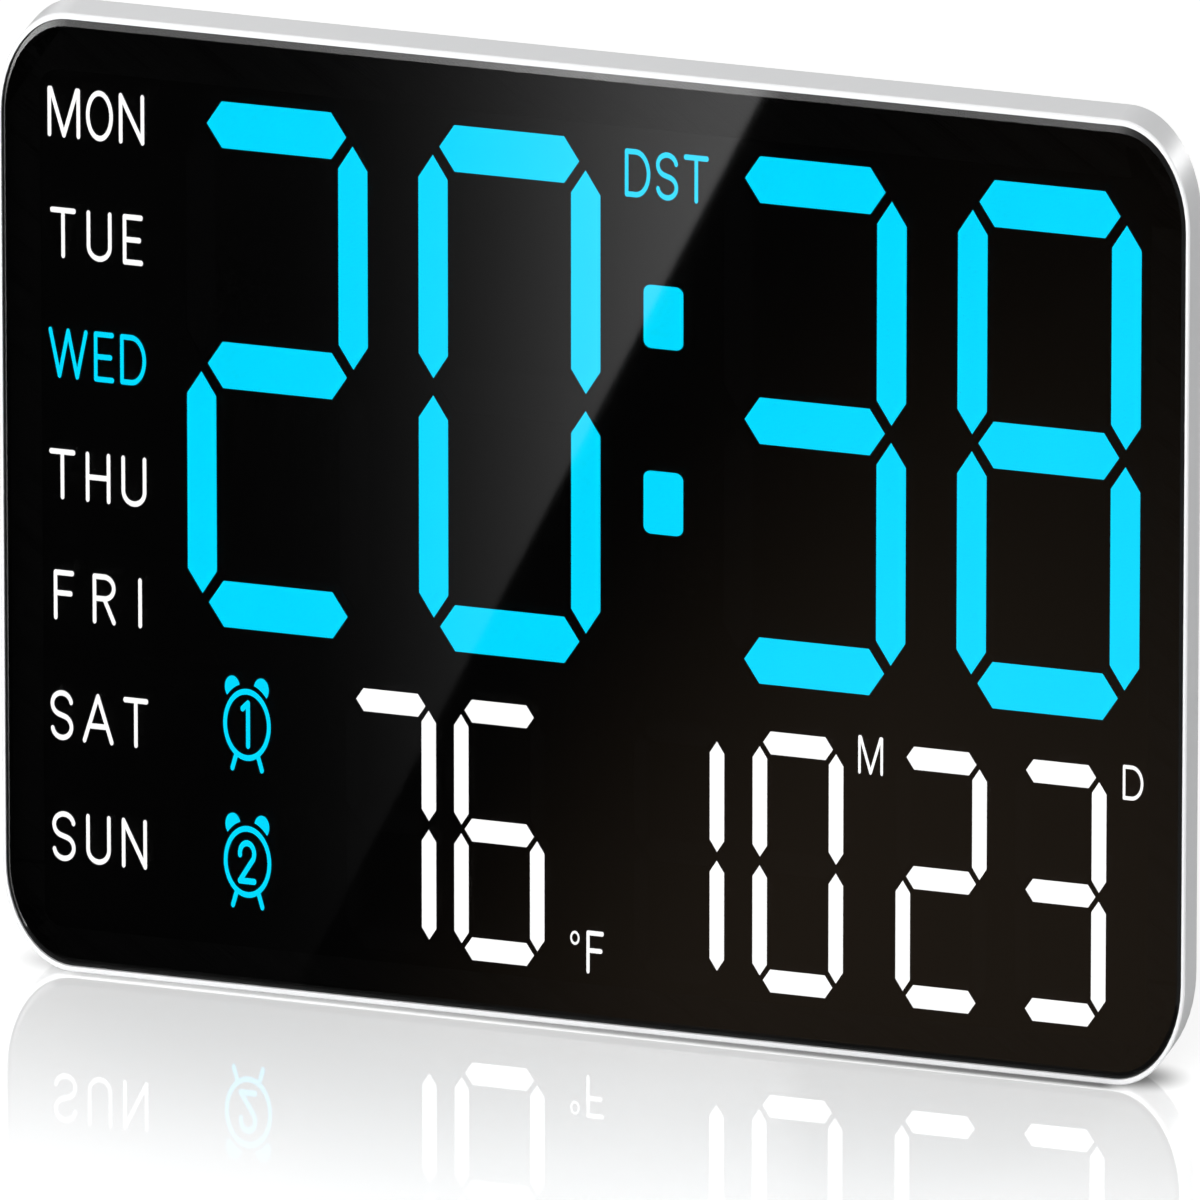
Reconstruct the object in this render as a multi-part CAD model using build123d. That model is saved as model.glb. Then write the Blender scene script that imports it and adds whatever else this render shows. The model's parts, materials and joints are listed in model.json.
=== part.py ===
from build123d import *
import math
import os

# A digital wall clock that also stands on its lower edge. Lengths are in millimetres. X runs along the
# case, +Z is up and the display faces -Y. The origin is the centre of the rim's lower face. A depth is
# measured back from the front of the case.

os.makedirs("parts", exist_ok=True)

# Rim of the case. Its width, height and depth follow from what it holds, and are worked out below.
corner_run = 21.3       # how far a corner's curve reaches along the top or bottom edge
corner_rise = 33.3      # how far it reaches along a side
lip_side = 1.1          # visible edge of the rim beside the front panel
lip_end = 1.8           # the same above and below it
rim_wall = 2.6
rim_edge = 0.4
ledge_thickness = 2.0
opening_side = 10.4     # the opening in the ledge, measured from the sides of the case
opening_low = 11.0      # and from its lower and upper edge
opening_high = 17.0
opening_corner = 6.0

# Front panel and the layers behind it
panel_thickness = 3.0
panel_clearance = 0.1
bevel_side = 1.2
bevel_end = 2.2
bevel_depth = 0.7
tape_thickness = 0.2
tape_inset = 1.5        # from the side of the front panel to the tape
tape_overlap = 1.5      # how far the tape reaches over the edge of the film behind it
film_thickness = 0.3
light_box_thickness = 6.0
stack_clearance = 0.3   # round the film, the light box and the board
window_thickness = 2.0
board_thickness = 1.6

# Seven-bar digits: a tall bar stands on each side, and three cross bars lie on the rows
digit_pitch_x = 46.2    # between the middles of the two sides
row_rise = 74.9         # between the middles of two rows
tall_bar_width = 8.95
cross_bar_height = 14.6
tall_bar_gap = 2.6      # from a row's middle to the tip of a tall bar
cross_bar_gap = 1.9     # from a side's middle to the tip of a cross bar
tall_tip = 7.4
cross_tip = 4.6
small_scale = 0.5       # size of the lower line's digits against the time's
window_margin = 0.15    # how much larger a bar's well is than its window in the film
well_draft = 0.12       # how much a well narrows on each side for each millimetre of depth

# Places on the display along X, each from the middle of what comes before it
weekday_margin = 2.5    # from the edge of the light box to the weekdays' wells
weekday_well = (33.0, 20.0)
weekday_to_hours = 89.5
hours_to_colon = 81.85
colon_to_minutes = 80.95
minutes_margin = 67.3   # from the middle of the minutes to the edge of the light box
time_pair_pitch = 70.5
lower_temperature_pitch = 33.0
lower_date_pitch = 36.1
temperature_shift = 15.5    # the lower figures, from the middles of those above them
month_shift = 22.85
day_shift = 21.4

# Places along Z
lower_margin = 4.85     # from the edge of the light box to the lower figures
lines_apart = 137.8     # between the middle rows of the two lines
upper_margin = 6.45
colon_width = 12.1
colon_height = 19.8
colon_corner = 2.4
colon_spread = 57.9
weekday_rise = 73.75    # the first weekday, from the middle row of the time
weekday_pitch = 37.9

# Wells behind the other words and symbols: the shift from the figures beside them, and the size
daylight_shift = (0.95, 72.85)
daylight_well = (28.0, 18.0)
alarm_shifts = ((44.7, 26.25), (44.7, -16.95))
alarm_well = (17.0, 34.0)
degree_shift = (44.3, -34.35)
degree_well = (12.6, 17.0)
month_letter_shift = (40.1, 36.85)
day_letter_shift = (39.9, 36.85)
letter_well = (10.4, 15.0)

# Light-emitting diodes
diode_size = 2.8
diode_height = 0.9
small_diode_size = 1.6

# Rear cover: a flange inside the rim and a raised housing
cover_wall = 2.2
flange_thickness = 2.0
post_height = 0.4       # between the board and the flange
cover_headroom = 1.2    # between the tallest part on the board and the wall behind it
cover_clearance = 0.3
housing_inset = 12.0
housing_slope = 2.5     # how much the housing narrows on each side towards its back
housing_edge = 1.4

# Screws through cover and board into the bosses of the rim
boss_inset = 6.8
boss_radius = 3.0
screw_radius = 1.4
screw_fit = 0.05
screw_hole_radius = 1.7
screw_bite = 3.0
screw_head_radius = 2.6
screw_head_height = 1.4
screw_drive_radius = 1.1
side_screw_reach = 75.0     # from the lower or upper edge of the case
end_screw_reach = 95.0      # from a side of the case

# Feet that swing out behind the case, each on a screw in a boss under the housing
foot_side = 55.0        # from a side of the case to the pivot
foot_width = 11.0
foot_reach = 60.0       # from the pivot to the end of the arm
foot_thickness = 5.0
foot_edge = 0.8
foot_gap = 0.3          # between an arm and what lies round it
foot_behind = 0.5       # between a folded arm and the back of the rim
pad_length = 24.0
pad_width = 7.0
pad_thickness = 1.6
pad_proud = 0.6
pad_margin = 4.0        # from the end of the arm to the end of its pad
pad_fit = 0.05
pivot_radius = 2.0
pivot_fit = 0.05
pivot_head_radius = 3.4
pivot_head_height = 1.6
pivot_bite = 9.0        # how far the screw goes into the boss
stop_inner_radius = 3.4
stop_outer_radius = 4.3
stop_height = 1.2
stop_angle = 30.0
stop_play = 4.0
swing_angle = 90.0

# Wall hanging
keyhole_spread = 200.0
keyhole_drop = 51.0     # from the upper edge of the case
keyhole_entry_radius = 4.5
keyhole_slot_radius = 2.25
keyhole_slot_rise = 9.0

# Push buttons, in a column near one side, and the switches behind them
button_side = 30.0      # from the side of the case
button_low = 130.0
button_pitch = 18.0
button_radius = 4.0
button_gap = 0.3
button_proud = 1.2
button_dish = 0.4
button_flange_radius = 5.5
button_flange_thickness = 1.1
button_stem_radius = 2.0
button_stem_length = 0.6
button_travel = 0.8
button_end_gap = 0.1
switch_body = 6.0
switch_body_height = 3.5
switch_stem_radius = 1.75
button_names = ["button_mode", "button_up", "button_down", "button_alarm", "button_brightness"]

# Backup cell in its bay
bay_side = 70.0         # from the side of the case
bay_drop = 126.0        # from its upper edge
cell_radius = 10.0
cell_thickness = 3.2
cell_fit = 0.4
contact_thickness = 0.3
contact_width = 4.0
door_radius = 12.0
door_gap = 0.3
door_thickness = 2.0
door_hub_radius = 11.0
door_hub_depth = 1.6
door_tab_reach = 2.0
door_tab_angle = 36.0
door_turn = 45.0
door_tab_thickness = 1.1
coin_slot = (14.0, 2.0, 1.0)
bay_wall = 1.6

# Power inlet at the side of the housing
inlet_z = 45.0
inlet_size = (13.0, 11.0, 9.0)      # along X, in depth, in height
inlet_axis = 6.5                    # from the board to the socket's axis
inlet_bore_radius = 3.15
inlet_bore_depth = 9.5
inlet_pin_radius = 1.0
inlet_pin_length = 8.5
inlet_gap = 0.3
inlet_opening_radius = 3.7

# Other parts on the board, each with its distance from a side or from the middle, and its height
chip_place = (-35.0, 150.0)
chip_size = (10.0, 10.0, 1.6)
driver_places = ((35.0, 160.0), (35.0, 190.0))
driver_size = (18.0, 7.6, 2.4)
crystal_place = (-60.0, 150.0)
crystal_size = (11.0, 4.6, 3.5)
thermistor_side = 50.0
thermistor_z = 24.0
thermistor_radius = 1.5
thermistor_height = 7.0
buzzer_side = 80.0
buzzer_z = 60.0
buzzer_radius = 6.0
buzzer_height = 9.5
capacitor_side = 40.0
capacitor_z = 70.0
capacitor_radius = 4.0
capacitor_height = 11.0

# Vents and sound holes
vent_length = 13.0
vent_width = 2.0
vent_pitch = 18.0
vent_count = 7
vent_drop = 31.0        # from the upper edge of the case
vent_low_z = 24.0
vent_low_side = 68.0
vent_low_pitch = 12.0
vent_low_count = 4
sound_hole_radius = 1.0
sound_ring_radius = 3.6
sound_hole_count = 6

# Depths of the layers and of the case, worked out from their thicknesses
ledge_depth = panel_thickness + tape_thickness
film_depth = ledge_depth
box_depth = film_depth + film_thickness
board_depth = box_depth + light_box_thickness
board_back = board_depth + board_thickness
flange_depth = board_back + post_height
rim_depth = flange_depth + flange_thickness
tallest_part = max(inlet_size[1], capacitor_height, buzzer_height)
cover_inside = board_back + tallest_part + cover_headroom
case_depth = cover_inside + cover_wall

# Places on the display and the size of the case, worked out from the distances above
display_width = weekday_margin + weekday_well[0] / 2 + weekday_to_hours
display_width += hours_to_colon + colon_to_minutes + minutes_margin
case_width = display_width + 2 * (opening_side + stack_clearance)
weekday_middle = weekday_margin + weekday_well[0] / 2 - display_width / 2
hours_middle = weekday_middle + weekday_to_hours
colon_middle = hours_middle + hours_to_colon
minutes_middle = colon_middle + colon_to_minutes
lower_temperature_middle = hours_middle + temperature_shift
lower_month_middle = colon_middle + month_shift
lower_day_middle = minutes_middle + day_shift
figure_rise = row_rise + cross_bar_height / 2
lower_middle_row = opening_low + stack_clearance + lower_margin + figure_rise * small_scale
time_middle_row = lower_middle_row + lines_apart
case_height = time_middle_row + figure_rise + upper_margin + stack_clearance + opening_high

# Places behind the display, worked out from the sides of the case
boss_x = case_width / 2 - boss_inset
end_boss_x = case_width / 2 - end_screw_reach
end_boss_heights = (boss_inset, case_height - boss_inset)
side_screw_heights = (side_screw_reach, case_height - side_screw_reach)
foot_y = rim_depth / 2 + foot_behind + foot_width / 2
arm_top = pad_proud + foot_thickness
button_x = case_width / 2 - button_side
keyhole_height = case_height - keyhole_drop
bay_x = bay_side - case_width / 2
bay_z = case_height - bay_drop
thermistor_place = (thermistor_side - case_width / 2, thermistor_z)
buzzer_place = (case_width / 2 - buzzer_side, buzzer_z)
capacitor_place = (capacitor_side - case_width / 2, capacitor_z)
button_flange_front = cover_inside - button_gap - button_flange_thickness
switch_top = button_flange_front - button_stem_length - button_travel - button_end_gap


def at_depth(depth):
    """Plane parallel to the display, with local x along X and local y along Z."""
    return Plane.XZ.offset(rim_depth / 2 - depth)


def slab(outline, near, far):
    """Solid between two depths, from an outline seen from the front."""
    return extrude(at_depth(far) * outline, amount=far - near)


def rounded_outline(half_width, low, high, run, rise):
    """Upright outline whose straight sides are joined by quarter ellipses."""
    side = half_width - run
    return make_face(
        [
            Line((-side, low), (side, low)),
            EllipticalCenterArc((side, low + rise), run, rise, 270),
            Line((half_width, low + rise), (half_width, high - rise)),
            EllipticalCenterArc((side, high - rise), run, rise, 0),
            Line((side, high), (-side, high)),
            EllipticalCenterArc((-side, high - rise), run, rise, 90),
            Line((-half_width, high - rise), (-half_width, low + rise)),
            EllipticalCenterArc((-side, low + rise), run, rise, 180),
        ]
    )


def case_outline(inset_x, inset_z):
    """The case's own outline, drawn in by so much at the sides and at the ends."""
    half_width = case_width / 2 - inset_x
    run = max(corner_run - inset_x, opening_corner)
    rise = max(corner_rise - inset_z, opening_corner)
    return rounded_outline(half_width, inset_z, case_height - inset_z, run, rise)


def opening_outline(clearance):
    """Opening in the ledge, or what fills it with a clearance."""
    return rounded_outline(
        case_width / 2 - opening_side - clearance,
        opening_low + clearance,
        case_height - opening_high - clearance,
        opening_corner,
        opening_corner,
    )


def screw_places():
    """Places of the case screws, in X and Z."""
    sides = [(side * boss_x, height) for side in (-1, 1) for height in side_screw_heights]
    ends = [(side * end_boss_x, height) for side in (-1, 1) for height in end_boss_heights]
    return sides + ends


def discs(places, radius):
    """One disc at each place."""
    return Sketch() + [Pos(x, z) * Circle(radius) for x, z in places]


def bar_outline(half_length, half_width, tip, grow):
    """Bar pointed at both ends, lying along x, grown evenly on all sides."""
    end_growth = grow * math.hypot(half_width, tip) / half_width
    reach = half_length + end_growth
    width = half_width + grow
    shoulder = reach - tip * width / half_width
    return Polygon(
        (reach, 0),
        (shoulder, width),
        (-shoulder, width),
        (-reach, 0),
        (-shoulder, -width),
        (shoulder, -width),
        align=None,
    )


def digit_bars(figure, x, z, scale, grow):
    """The bars of one figure, centred on x and z, by the letters a to g that name them from the top."""
    side = digit_pitch_x / 2 * scale
    row = row_rise * scale
    cross = bar_outline(
        side - cross_bar_gap * scale, cross_bar_height / 2 * scale, cross_tip * scale, grow
    )
    tall = Rot(0, 0, 90) * bar_outline(
        row / 2 - tall_bar_gap * scale, tall_bar_width / 2 * scale, tall_tip * scale, grow
    )
    places = {
        "a": Pos(x, z + row) * cross,
        "b": Pos(x + side, z + row / 2) * tall,
        "c": Pos(x + side, z - row / 2) * tall,
        "d": Pos(x, z - row) * cross,
        "e": Pos(x - side, z - row / 2) * tall,
        "f": Pos(x - side, z + row / 2) * tall,
        "g": Pos(x, z) * cross,
    }
    return [places[letter] for letter in figure]


all_bars = "abcdefg"
figure_bars = {
    "0": "abcdef",
    "1": "bc",
    "2": "abged",
    "3": "abgcd",
    "6": "afgedc",
    "7": "abc",
    "8": "abcdefg",
}


def pair_places(middle, pitch, row, figures):
    """Two figures side by side."""
    return [(figures[0], middle - pitch / 2, row), (figures[1], middle + pitch / 2, row)]


time_figures = pair_places(hours_middle, time_pair_pitch, time_middle_row, "20") + pair_places(
    minutes_middle, time_pair_pitch, time_middle_row, "38"
)
temperature_figures = pair_places(
    lower_temperature_middle, lower_temperature_pitch, lower_middle_row, "76"
)
date_figures = pair_places(
    lower_month_middle, lower_date_pitch, lower_middle_row, "10"
) + pair_places(lower_day_middle, lower_date_pitch, lower_middle_row, "23")


def lit_bars(figures, scale, grow):
    """Every lit bar of a line of figures."""
    return [
        bar for name, x, z in figures for bar in digit_bars(figure_bars[name], x, z, scale, grow)
    ]


def unlit_bars(figures, scale, grow):
    """Every bar of a line of figures that stays dark."""
    return [
        bar
        for name, x, z in figures
        for bar in digit_bars(
            [letter for letter in all_bars if letter not in figure_bars[name]], x, z, scale, grow
        )
    ]


def colon_dots(grow):
    """The two dots between hours and minutes."""
    dot = RectangleRounded(colon_width + 2 * grow, colon_height + 2 * grow, colon_corner + grow)
    return [
        Pos(colon_middle, time_middle_row + side * colon_spread / 2) * dot for side in (-1, 1)
    ]


def display_bars(grow):
    """Every bar and dot of the display, lit or not."""
    lines = [(time_figures, 1.0), (temperature_figures + date_figures, small_scale)]
    bars = colon_dots(grow)
    for figures, scale in lines:
        bars += lit_bars(figures, scale, grow)
        bars += unlit_bars(figures, scale, grow)
    return bars


def shifted(x, z, shift, size):
    """Well at a shift from a figure: its middle in X and Z, its width and its height."""
    return (x + shift[0], z + shift[1], *size)


def legend_wells():
    """Rectangles behind the lit words and symbols."""
    wells = [
        shifted(weekday_middle, time_middle_row, (0, weekday_rise - day * weekday_pitch), weekday_well)
        for day in range(7)
    ]
    wells.append(shifted(colon_middle, time_middle_row, daylight_shift, daylight_well))
    wells += [
        shifted(weekday_middle, lower_middle_row, shift, alarm_well) for shift in alarm_shifts
    ]
    wells.append(shifted(lower_temperature_middle, lower_middle_row, degree_shift, degree_well))
    wells.append(shifted(lower_month_middle, lower_middle_row, month_letter_shift, letter_well))
    wells.append(shifted(lower_day_middle, lower_middle_row, day_letter_shift, letter_well))
    return wells


def tapered(near, far, outline_at):
    """Solids that narrow with depth, from an outline for each end."""
    fronts = outline_at(0.0)
    backs = outline_at(-well_draft * (far - near))
    return [
        loft([at_depth(near) * front, at_depth(far) * back], ruled=True)
        for front, back in zip(fronts, backs)
    ]


def frame():
    """White rim with the lip round the front panel, the ledge behind it and the screw bosses."""
    body = slab(case_outline(0, 0), 0, rim_depth)
    sides = body.faces().sort_by(Axis.Y)
    body = chamfer(sides[0].edges() + sides[-1].edges(), rim_edge)
    body -= slab(case_outline(lip_side, lip_end), 0, ledge_depth)
    body -= slab(opening_outline(0), ledge_depth, ledge_depth + ledge_thickness)
    body -= slab(case_outline(rim_wall, rim_wall), ledge_depth + ledge_thickness, rim_depth)
    body += slab(discs(screw_places(), boss_radius), ledge_depth + ledge_thickness, board_depth)
    pilot_depth = board_depth - screw_bite - screw_fit
    body -= slab(discs(screw_places(), screw_radius + screw_fit), pilot_depth, board_depth)
    return body


def front_panel():
    """Smoked sheet inside the lip, with a bevel round its front."""
    inset_x = lip_side + panel_clearance
    inset_z = lip_end + panel_clearance
    edge = case_outline(inset_x, inset_z)
    face = case_outline(inset_x + bevel_side, inset_z + bevel_end)
    bevel = loft([at_depth(0) * face, at_depth(bevel_depth) * edge], ruled=True)
    return bevel + slab(edge, bevel_depth, panel_thickness)


def panel_tape():
    """Adhesive ring between the front panel and the ledge, and over the edge of the film."""
    outside = case_outline(lip_side + tape_inset, lip_end + tape_inset)
    inside = opening_outline(stack_clearance + tape_overlap)
    return slab(outside - inside, panel_thickness, ledge_depth)


def mask_film():
    """Black film with a window for each bar."""
    sheet = slab(opening_outline(stack_clearance), film_depth, box_depth)
    return sheet - [slab(bar, film_depth, box_depth) for bar in display_bars(0.0)]


def light_box():
    """Moulded block with a narrowing well behind each bar, and a plain one behind each legend."""
    block = slab(opening_outline(stack_clearance), box_depth, board_depth)
    wells = tapered(box_depth, board_depth, lambda grow: display_bars(window_margin + grow))
    wells += [
        slab(Pos(x, z) * Rectangle(width, height), box_depth, board_depth)
        for x, z, width, height in legend_wells()
    ]
    return block - wells


def bar_windows(bars_at):
    """Resin that fills the mouths of some wells."""
    return Compound(
        tapered(box_depth, box_depth + window_thickness, lambda grow: bars_at(window_margin + grow))
    )


def circuit_board():
    """Board across the whole case, clear of the rim."""
    inset = rim_wall + stack_clearance
    return slab(
        case_outline(inset, inset) - discs(screw_places(), screw_hole_radius),
        board_depth,
        board_back,
    )


def diodes(outlines, size):
    """One light-emitting diode on the board in the middle of each outline."""
    return [
        slab(Pos(middle.X, middle.Y) * Rectangle(size, size), board_depth - diode_height, board_depth)
        for middle in (outline.center() for outline in outlines)
    ]


def bar_diodes():
    """A diode behind each bar and dot."""
    big = colon_dots(0) + lit_bars(time_figures, 1.0, 0) + unlit_bars(time_figures, 1.0, 0)
    lower = temperature_figures + date_figures
    small = lit_bars(lower, small_scale, 0) + unlit_bars(lower, small_scale, 0)
    return Compound(diodes(big, diode_size) + diodes(small, small_diode_size))


def legend_diodes():
    """A diode behind each legend."""
    return Compound(
        diodes([Pos(x, z) * Rectangle(w, h) for x, z, w, h in legend_wells()], diode_size)
    )


def on_board(place, outline, height):
    """Part that stands on the back of the board."""
    return slab(Pos(*place) * outline, board_back, board_back + height)


def microcontroller():
    return on_board(chip_place, Rectangle(chip_size[0], chip_size[1]), chip_size[2])


def driver_chips():
    outline = Rectangle(driver_size[0], driver_size[1])
    return Compound([on_board(place, outline, driver_size[2]) for place in driver_places])


def clock_crystal():
    return on_board(crystal_place, SlotOverall(crystal_size[0], crystal_size[1]), crystal_size[2])


def thermistor():
    """Bead on a stalk, near the lower vents."""
    stalk = on_board(thermistor_place, Circle(thermistor_radius / 3), thermistor_height)
    y = board_back + thermistor_height - rim_depth / 2
    return stalk + Pos(thermistor_place[0], y, thermistor_place[1]) * Sphere(thermistor_radius)


def buzzer():
    """Round sounder with a hole in its face."""
    body = on_board(buzzer_place, Circle(buzzer_radius), buzzer_height)
    top = board_back + buzzer_height
    return body - slab(Pos(*buzzer_place) * Circle(sound_hole_radius), top - buzzer_height / 3, top)


def capacitor():
    return on_board(capacitor_place, Circle(capacitor_radius), capacitor_height)


def button_places():
    """Places of the buttons in X and Z, from the lowest up."""
    return [(button_x, button_low + row * button_pitch) for row in range(len(button_names))]


def push_switches():
    """Switches on the board: a square body and a long round stem."""
    body_top = board_back + switch_body_height
    return Compound(
        [
            slab(Pos(*place) * Rectangle(switch_body, switch_body), board_back, body_top)
            + slab(Pos(*place) * Circle(switch_stem_radius), body_top, switch_top)
            for place in button_places()
        ]
    )


def push_button(place):
    """Round cap with a dished face, a flange behind the wall and a short stem over the switch."""
    stem_end = button_flange_front - button_stem_length
    flange_back = cover_inside - button_gap
    cap_end = case_depth + button_proud
    body = slab(Pos(*place) * Circle(button_stem_radius), stem_end, button_flange_front)
    body += slab(Pos(*place) * Circle(button_flange_radius), button_flange_front, flange_back)
    cap = slab(Pos(*place) * Circle(button_radius), flange_back, cap_end)
    rim_edge = cap.edges().filter_by(GeomType.CIRCLE).sort_by(Axis.Y)[-1]
    cap = chamfer(rim_edge, button_dish)
    cap -= slab(Pos(*place) * Circle(button_radius / 2), cap_end - button_dish, cap_end)
    return body + cap


def inlet_place(x):
    """Point on the socket's axis, with local z along X."""
    return Pos(x, board_back + inlet_axis - rim_depth / 2, inlet_z) * Rot(0, 90, 0)


def inlet_mouth():
    """Where the socket's mouth lies, just inside the housing's wall."""
    return inlet_gap + cover_wall + housing_slope + housing_inset - case_width / 2


def power_inlet():
    """Block on the board with a round blind socket, its mouth to the side."""
    length, depth, height = inlet_size
    middle_y = board_back + depth / 2 - rim_depth / 2
    body = Pos(inlet_mouth() + length / 2, middle_y, inlet_z) * Box(length, depth, height)
    socket = Cylinder(inlet_bore_radius, inlet_bore_depth)
    return body - inlet_place(inlet_mouth() + inlet_bore_depth / 2) * socket


def inlet_pin():
    """Centre pin of the socket, a little shorter than the socket is deep."""
    x = inlet_mouth() + inlet_bore_depth - inlet_pin_length / 2
    return inlet_place(x) * Cylinder(inlet_pin_radius, inlet_pin_length)


# The bay of the backup cell, from the door inwards
door_front = case_depth - door_thickness
hub_front = door_front - door_hub_depth
tab_back = cover_inside - door_gap
tab_front = tab_back - door_tab_thickness
tab_radius = door_hub_radius + door_gap + door_tab_reach + door_gap
cell_back = hub_front - door_gap
cell_front = cell_back - cell_thickness
bay_floor = cell_front - contact_thickness
bay_outside = bay_floor - bay_wall
bay_place = Pos(bay_x, bay_z)


def sector(radius, width, middle):
    """Sector of a disc, a number of degrees wide."""
    first = middle - width / 2
    reach = [
        (radius * 1.3 * math.cos(math.radians(first + part * width / 2)),
         radius * 1.3 * math.sin(math.radians(first + part * width / 2)))
        for part in range(3)
    ]
    return Circle(radius) & Polygon((0, 0), *reach, align=None)


def two_sectors(radius, width, middle):
    return sector(radius, width, middle) + sector(radius, width, middle + 180)


def cell_door():
    """Round door with a coin slot, turned to free its two tabs."""
    length, width, depth = coin_slot
    door = slab(bay_place * Circle(door_radius), door_front, case_depth)
    door += slab(bay_place * Circle(door_hub_radius), hub_front, door_front)
    door += slab(bay_place * two_sectors(tab_radius, door_tab_angle, 0), tab_front, tab_back)
    slot = RectangleRounded(length, width, width / 2.1)
    return door - slab(bay_place * slot, case_depth - depth, case_depth)


def coin_cell():
    """Cell with the narrower step of its lower can."""
    step = cell_thickness / 4
    can = slab(bay_place * Circle(cell_radius), cell_front + step, cell_back)
    return can + slab(bay_place * Circle(cell_radius * 0.88), cell_front, cell_front + step)


def cell_contacts():
    """A leaf under the cell and one at its side, each with a leg down to the board."""
    leaf = Rectangle(cell_radius, contact_width)
    under = slab(bay_place * leaf, bay_floor, cell_front)
    leg = Pos(-cell_radius / 2 + contact_thickness / 2, 0) * Rectangle(contact_thickness, contact_width)
    under += slab(bay_place * leg, board_back, bay_floor)
    side_x = cell_radius + cell_fit / 2
    strip = Pos(side_x, 0) * Rectangle(contact_thickness, contact_width)
    return Compound([under, slab(bay_place * strip, board_back, cell_back)])


def housing_outline(inset, depth):
    """Section of the raised housing at a depth, drawn in by an inset."""
    slope = housing_slope * (depth - rim_depth) / (case_depth - rim_depth)
    total = housing_inset + slope + inset
    return case_outline(total, total)


def foot_place(side):
    """Foot of a pivot's axis on the table."""
    return Pos(side * (case_width / 2 - foot_side), foot_y)


def stop_arc(width, middle, gap):
    """Arc round a pivot, seen from above: the stop, or with a gap the slot that it moves in."""
    return sector(stop_outer_radius + gap, width, middle) - Circle(stop_inner_radius - gap)


def pivot_boss(side):
    """Boss for a foot's screw, with the stop under it."""
    low = arm_top + foot_gap
    boss = Pos(0, 0, low) * extrude(Circle(foot_width / 2), amount=pivot_bite + foot_gap)
    stop = extrude(stop_arc(stop_angle, -90, 0), amount=stop_height)
    return foot_place(side) * (boss + Pos(0, 0, low - stop_height) * stop)


def pivot_hole(side):
    """Blind hole for a foot's screw."""
    hole = extrude(Circle(pivot_radius + pivot_fit), amount=pivot_bite)
    return foot_place(side) * Pos(0, 0, arm_top + foot_gap) * hole


def keyhole(entry_radius, slot_radius):
    """Round entry with a slot above it."""
    slot = Pos(0, keyhole_slot_rise / 2) * Rectangle(2 * slot_radius, keyhole_slot_rise)
    return Circle(entry_radius) + slot + Pos(0, keyhole_slot_rise) * Circle(slot_radius)


def vents():
    """Upright slots: one row at the top and a short one above each foot."""
    slot = Rectangle(vent_width, vent_length)
    low_x = case_width / 2 - vent_low_side
    low_row = GridLocations(vent_low_pitch, 0, vent_low_count, 1)
    places = list(Pos(0, case_height - vent_drop) * GridLocations(vent_pitch, 0, vent_count, 1))
    for side in (-1, 1):
        places += Pos(side * low_x, vent_low_z) * low_row
    return [place * slot for place in places]


def sound_holes():
    """Ring of holes round a middle one, over the buzzer."""
    ring = PolarLocations(sound_ring_radius, sound_hole_count)
    hole = Circle(sound_hole_radius)
    return [Pos(*buzzer_place) * place * hole for place in list(ring) + [Location()]]


def rear_cover():
    """Flange, raised housing with its recess and bay, and every opening in it."""
    shell = slab(
        case_outline(rim_wall + cover_clearance, rim_wall + cover_clearance), flange_depth, rim_depth
    )
    housing = loft(
        [
            at_depth(rim_depth) * housing_outline(0, rim_depth),
            at_depth(case_depth) * housing_outline(0, case_depth),
        ],
        ruled=True,
    )
    back_edges = housing.faces().sort_by(Axis.Y)[-1].edges()
    shell += chamfer(back_edges, housing_edge)
    hollow = loft(
        [
            at_depth(flange_depth) * housing_outline(cover_wall, flange_depth),
            at_depth(cover_inside) * housing_outline(cover_wall, cover_inside),
        ],
        ruled=True,
    )
    hollow -= slab(bay_place * Circle(tab_radius + door_gap + bay_wall), bay_outside, cover_inside)
    shell -= hollow
    shell += [pivot_boss(side) for side in (-1, 1)]
    shell -= [pivot_hole(side) for side in (-1, 1)]
    shell -= cell_bay()
    shell += slab(discs(screw_places(), boss_radius), board_back, flange_depth)
    shell -= slab(discs(screw_places(), screw_hole_radius), board_back, rim_depth)
    shell -= slab(
        discs(screw_places(), screw_head_radius + screw_fit), rim_depth - screw_head_height, rim_depth
    )
    wall_holes = vents() + sound_holes()
    wall_holes += [
        Pos(side * keyhole_spread / 2, keyhole_height) * keyhole(keyhole_entry_radius, keyhole_slot_radius)
        for side in (-1, 1)
    ]
    wall_holes += [Pos(*place) * Circle(button_radius + button_gap) for place in button_places()]
    shell -= [slab(hole, cover_inside, case_depth) for hole in wall_holes]
    return shell - inlet_opening()


def cell_bay():
    """Bay for the cell, with notches that let the door's tabs in and slots for the contacts."""
    bay = slab(bay_place * Circle(door_radius + door_gap), door_front - door_gap, case_depth)
    bay += slab(bay_place * Circle(tab_radius + door_gap), tab_front - door_gap, cover_inside)
    notches = two_sectors(tab_radius + door_gap, door_tab_angle + 6, -door_turn)
    bay += slab(bay_place * notches, cover_inside, case_depth)
    bay += slab(bay_place * Circle(cell_radius + cell_fit), bay_floor, tab_front)
    slot = Rectangle(2 * contact_thickness, contact_width + contact_thickness)
    under_slot = Pos(-cell_radius / 2 + contact_thickness / 2, 0) * slot
    side_slot = Pos(cell_radius + cell_fit / 2, 0) * slot
    bay += slab(bay_place * under_slot, bay_outside, bay_floor)
    return bay + slab(bay_place * side_slot, bay_outside, tab_front)


def inlet_opening():
    """Hole in the side wall in front of the power inlet."""
    length = housing_slope + cover_wall + 2 * inlet_gap
    return inlet_place(inlet_mouth() - length / 2) * Cylinder(inlet_opening_radius, length)


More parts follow.
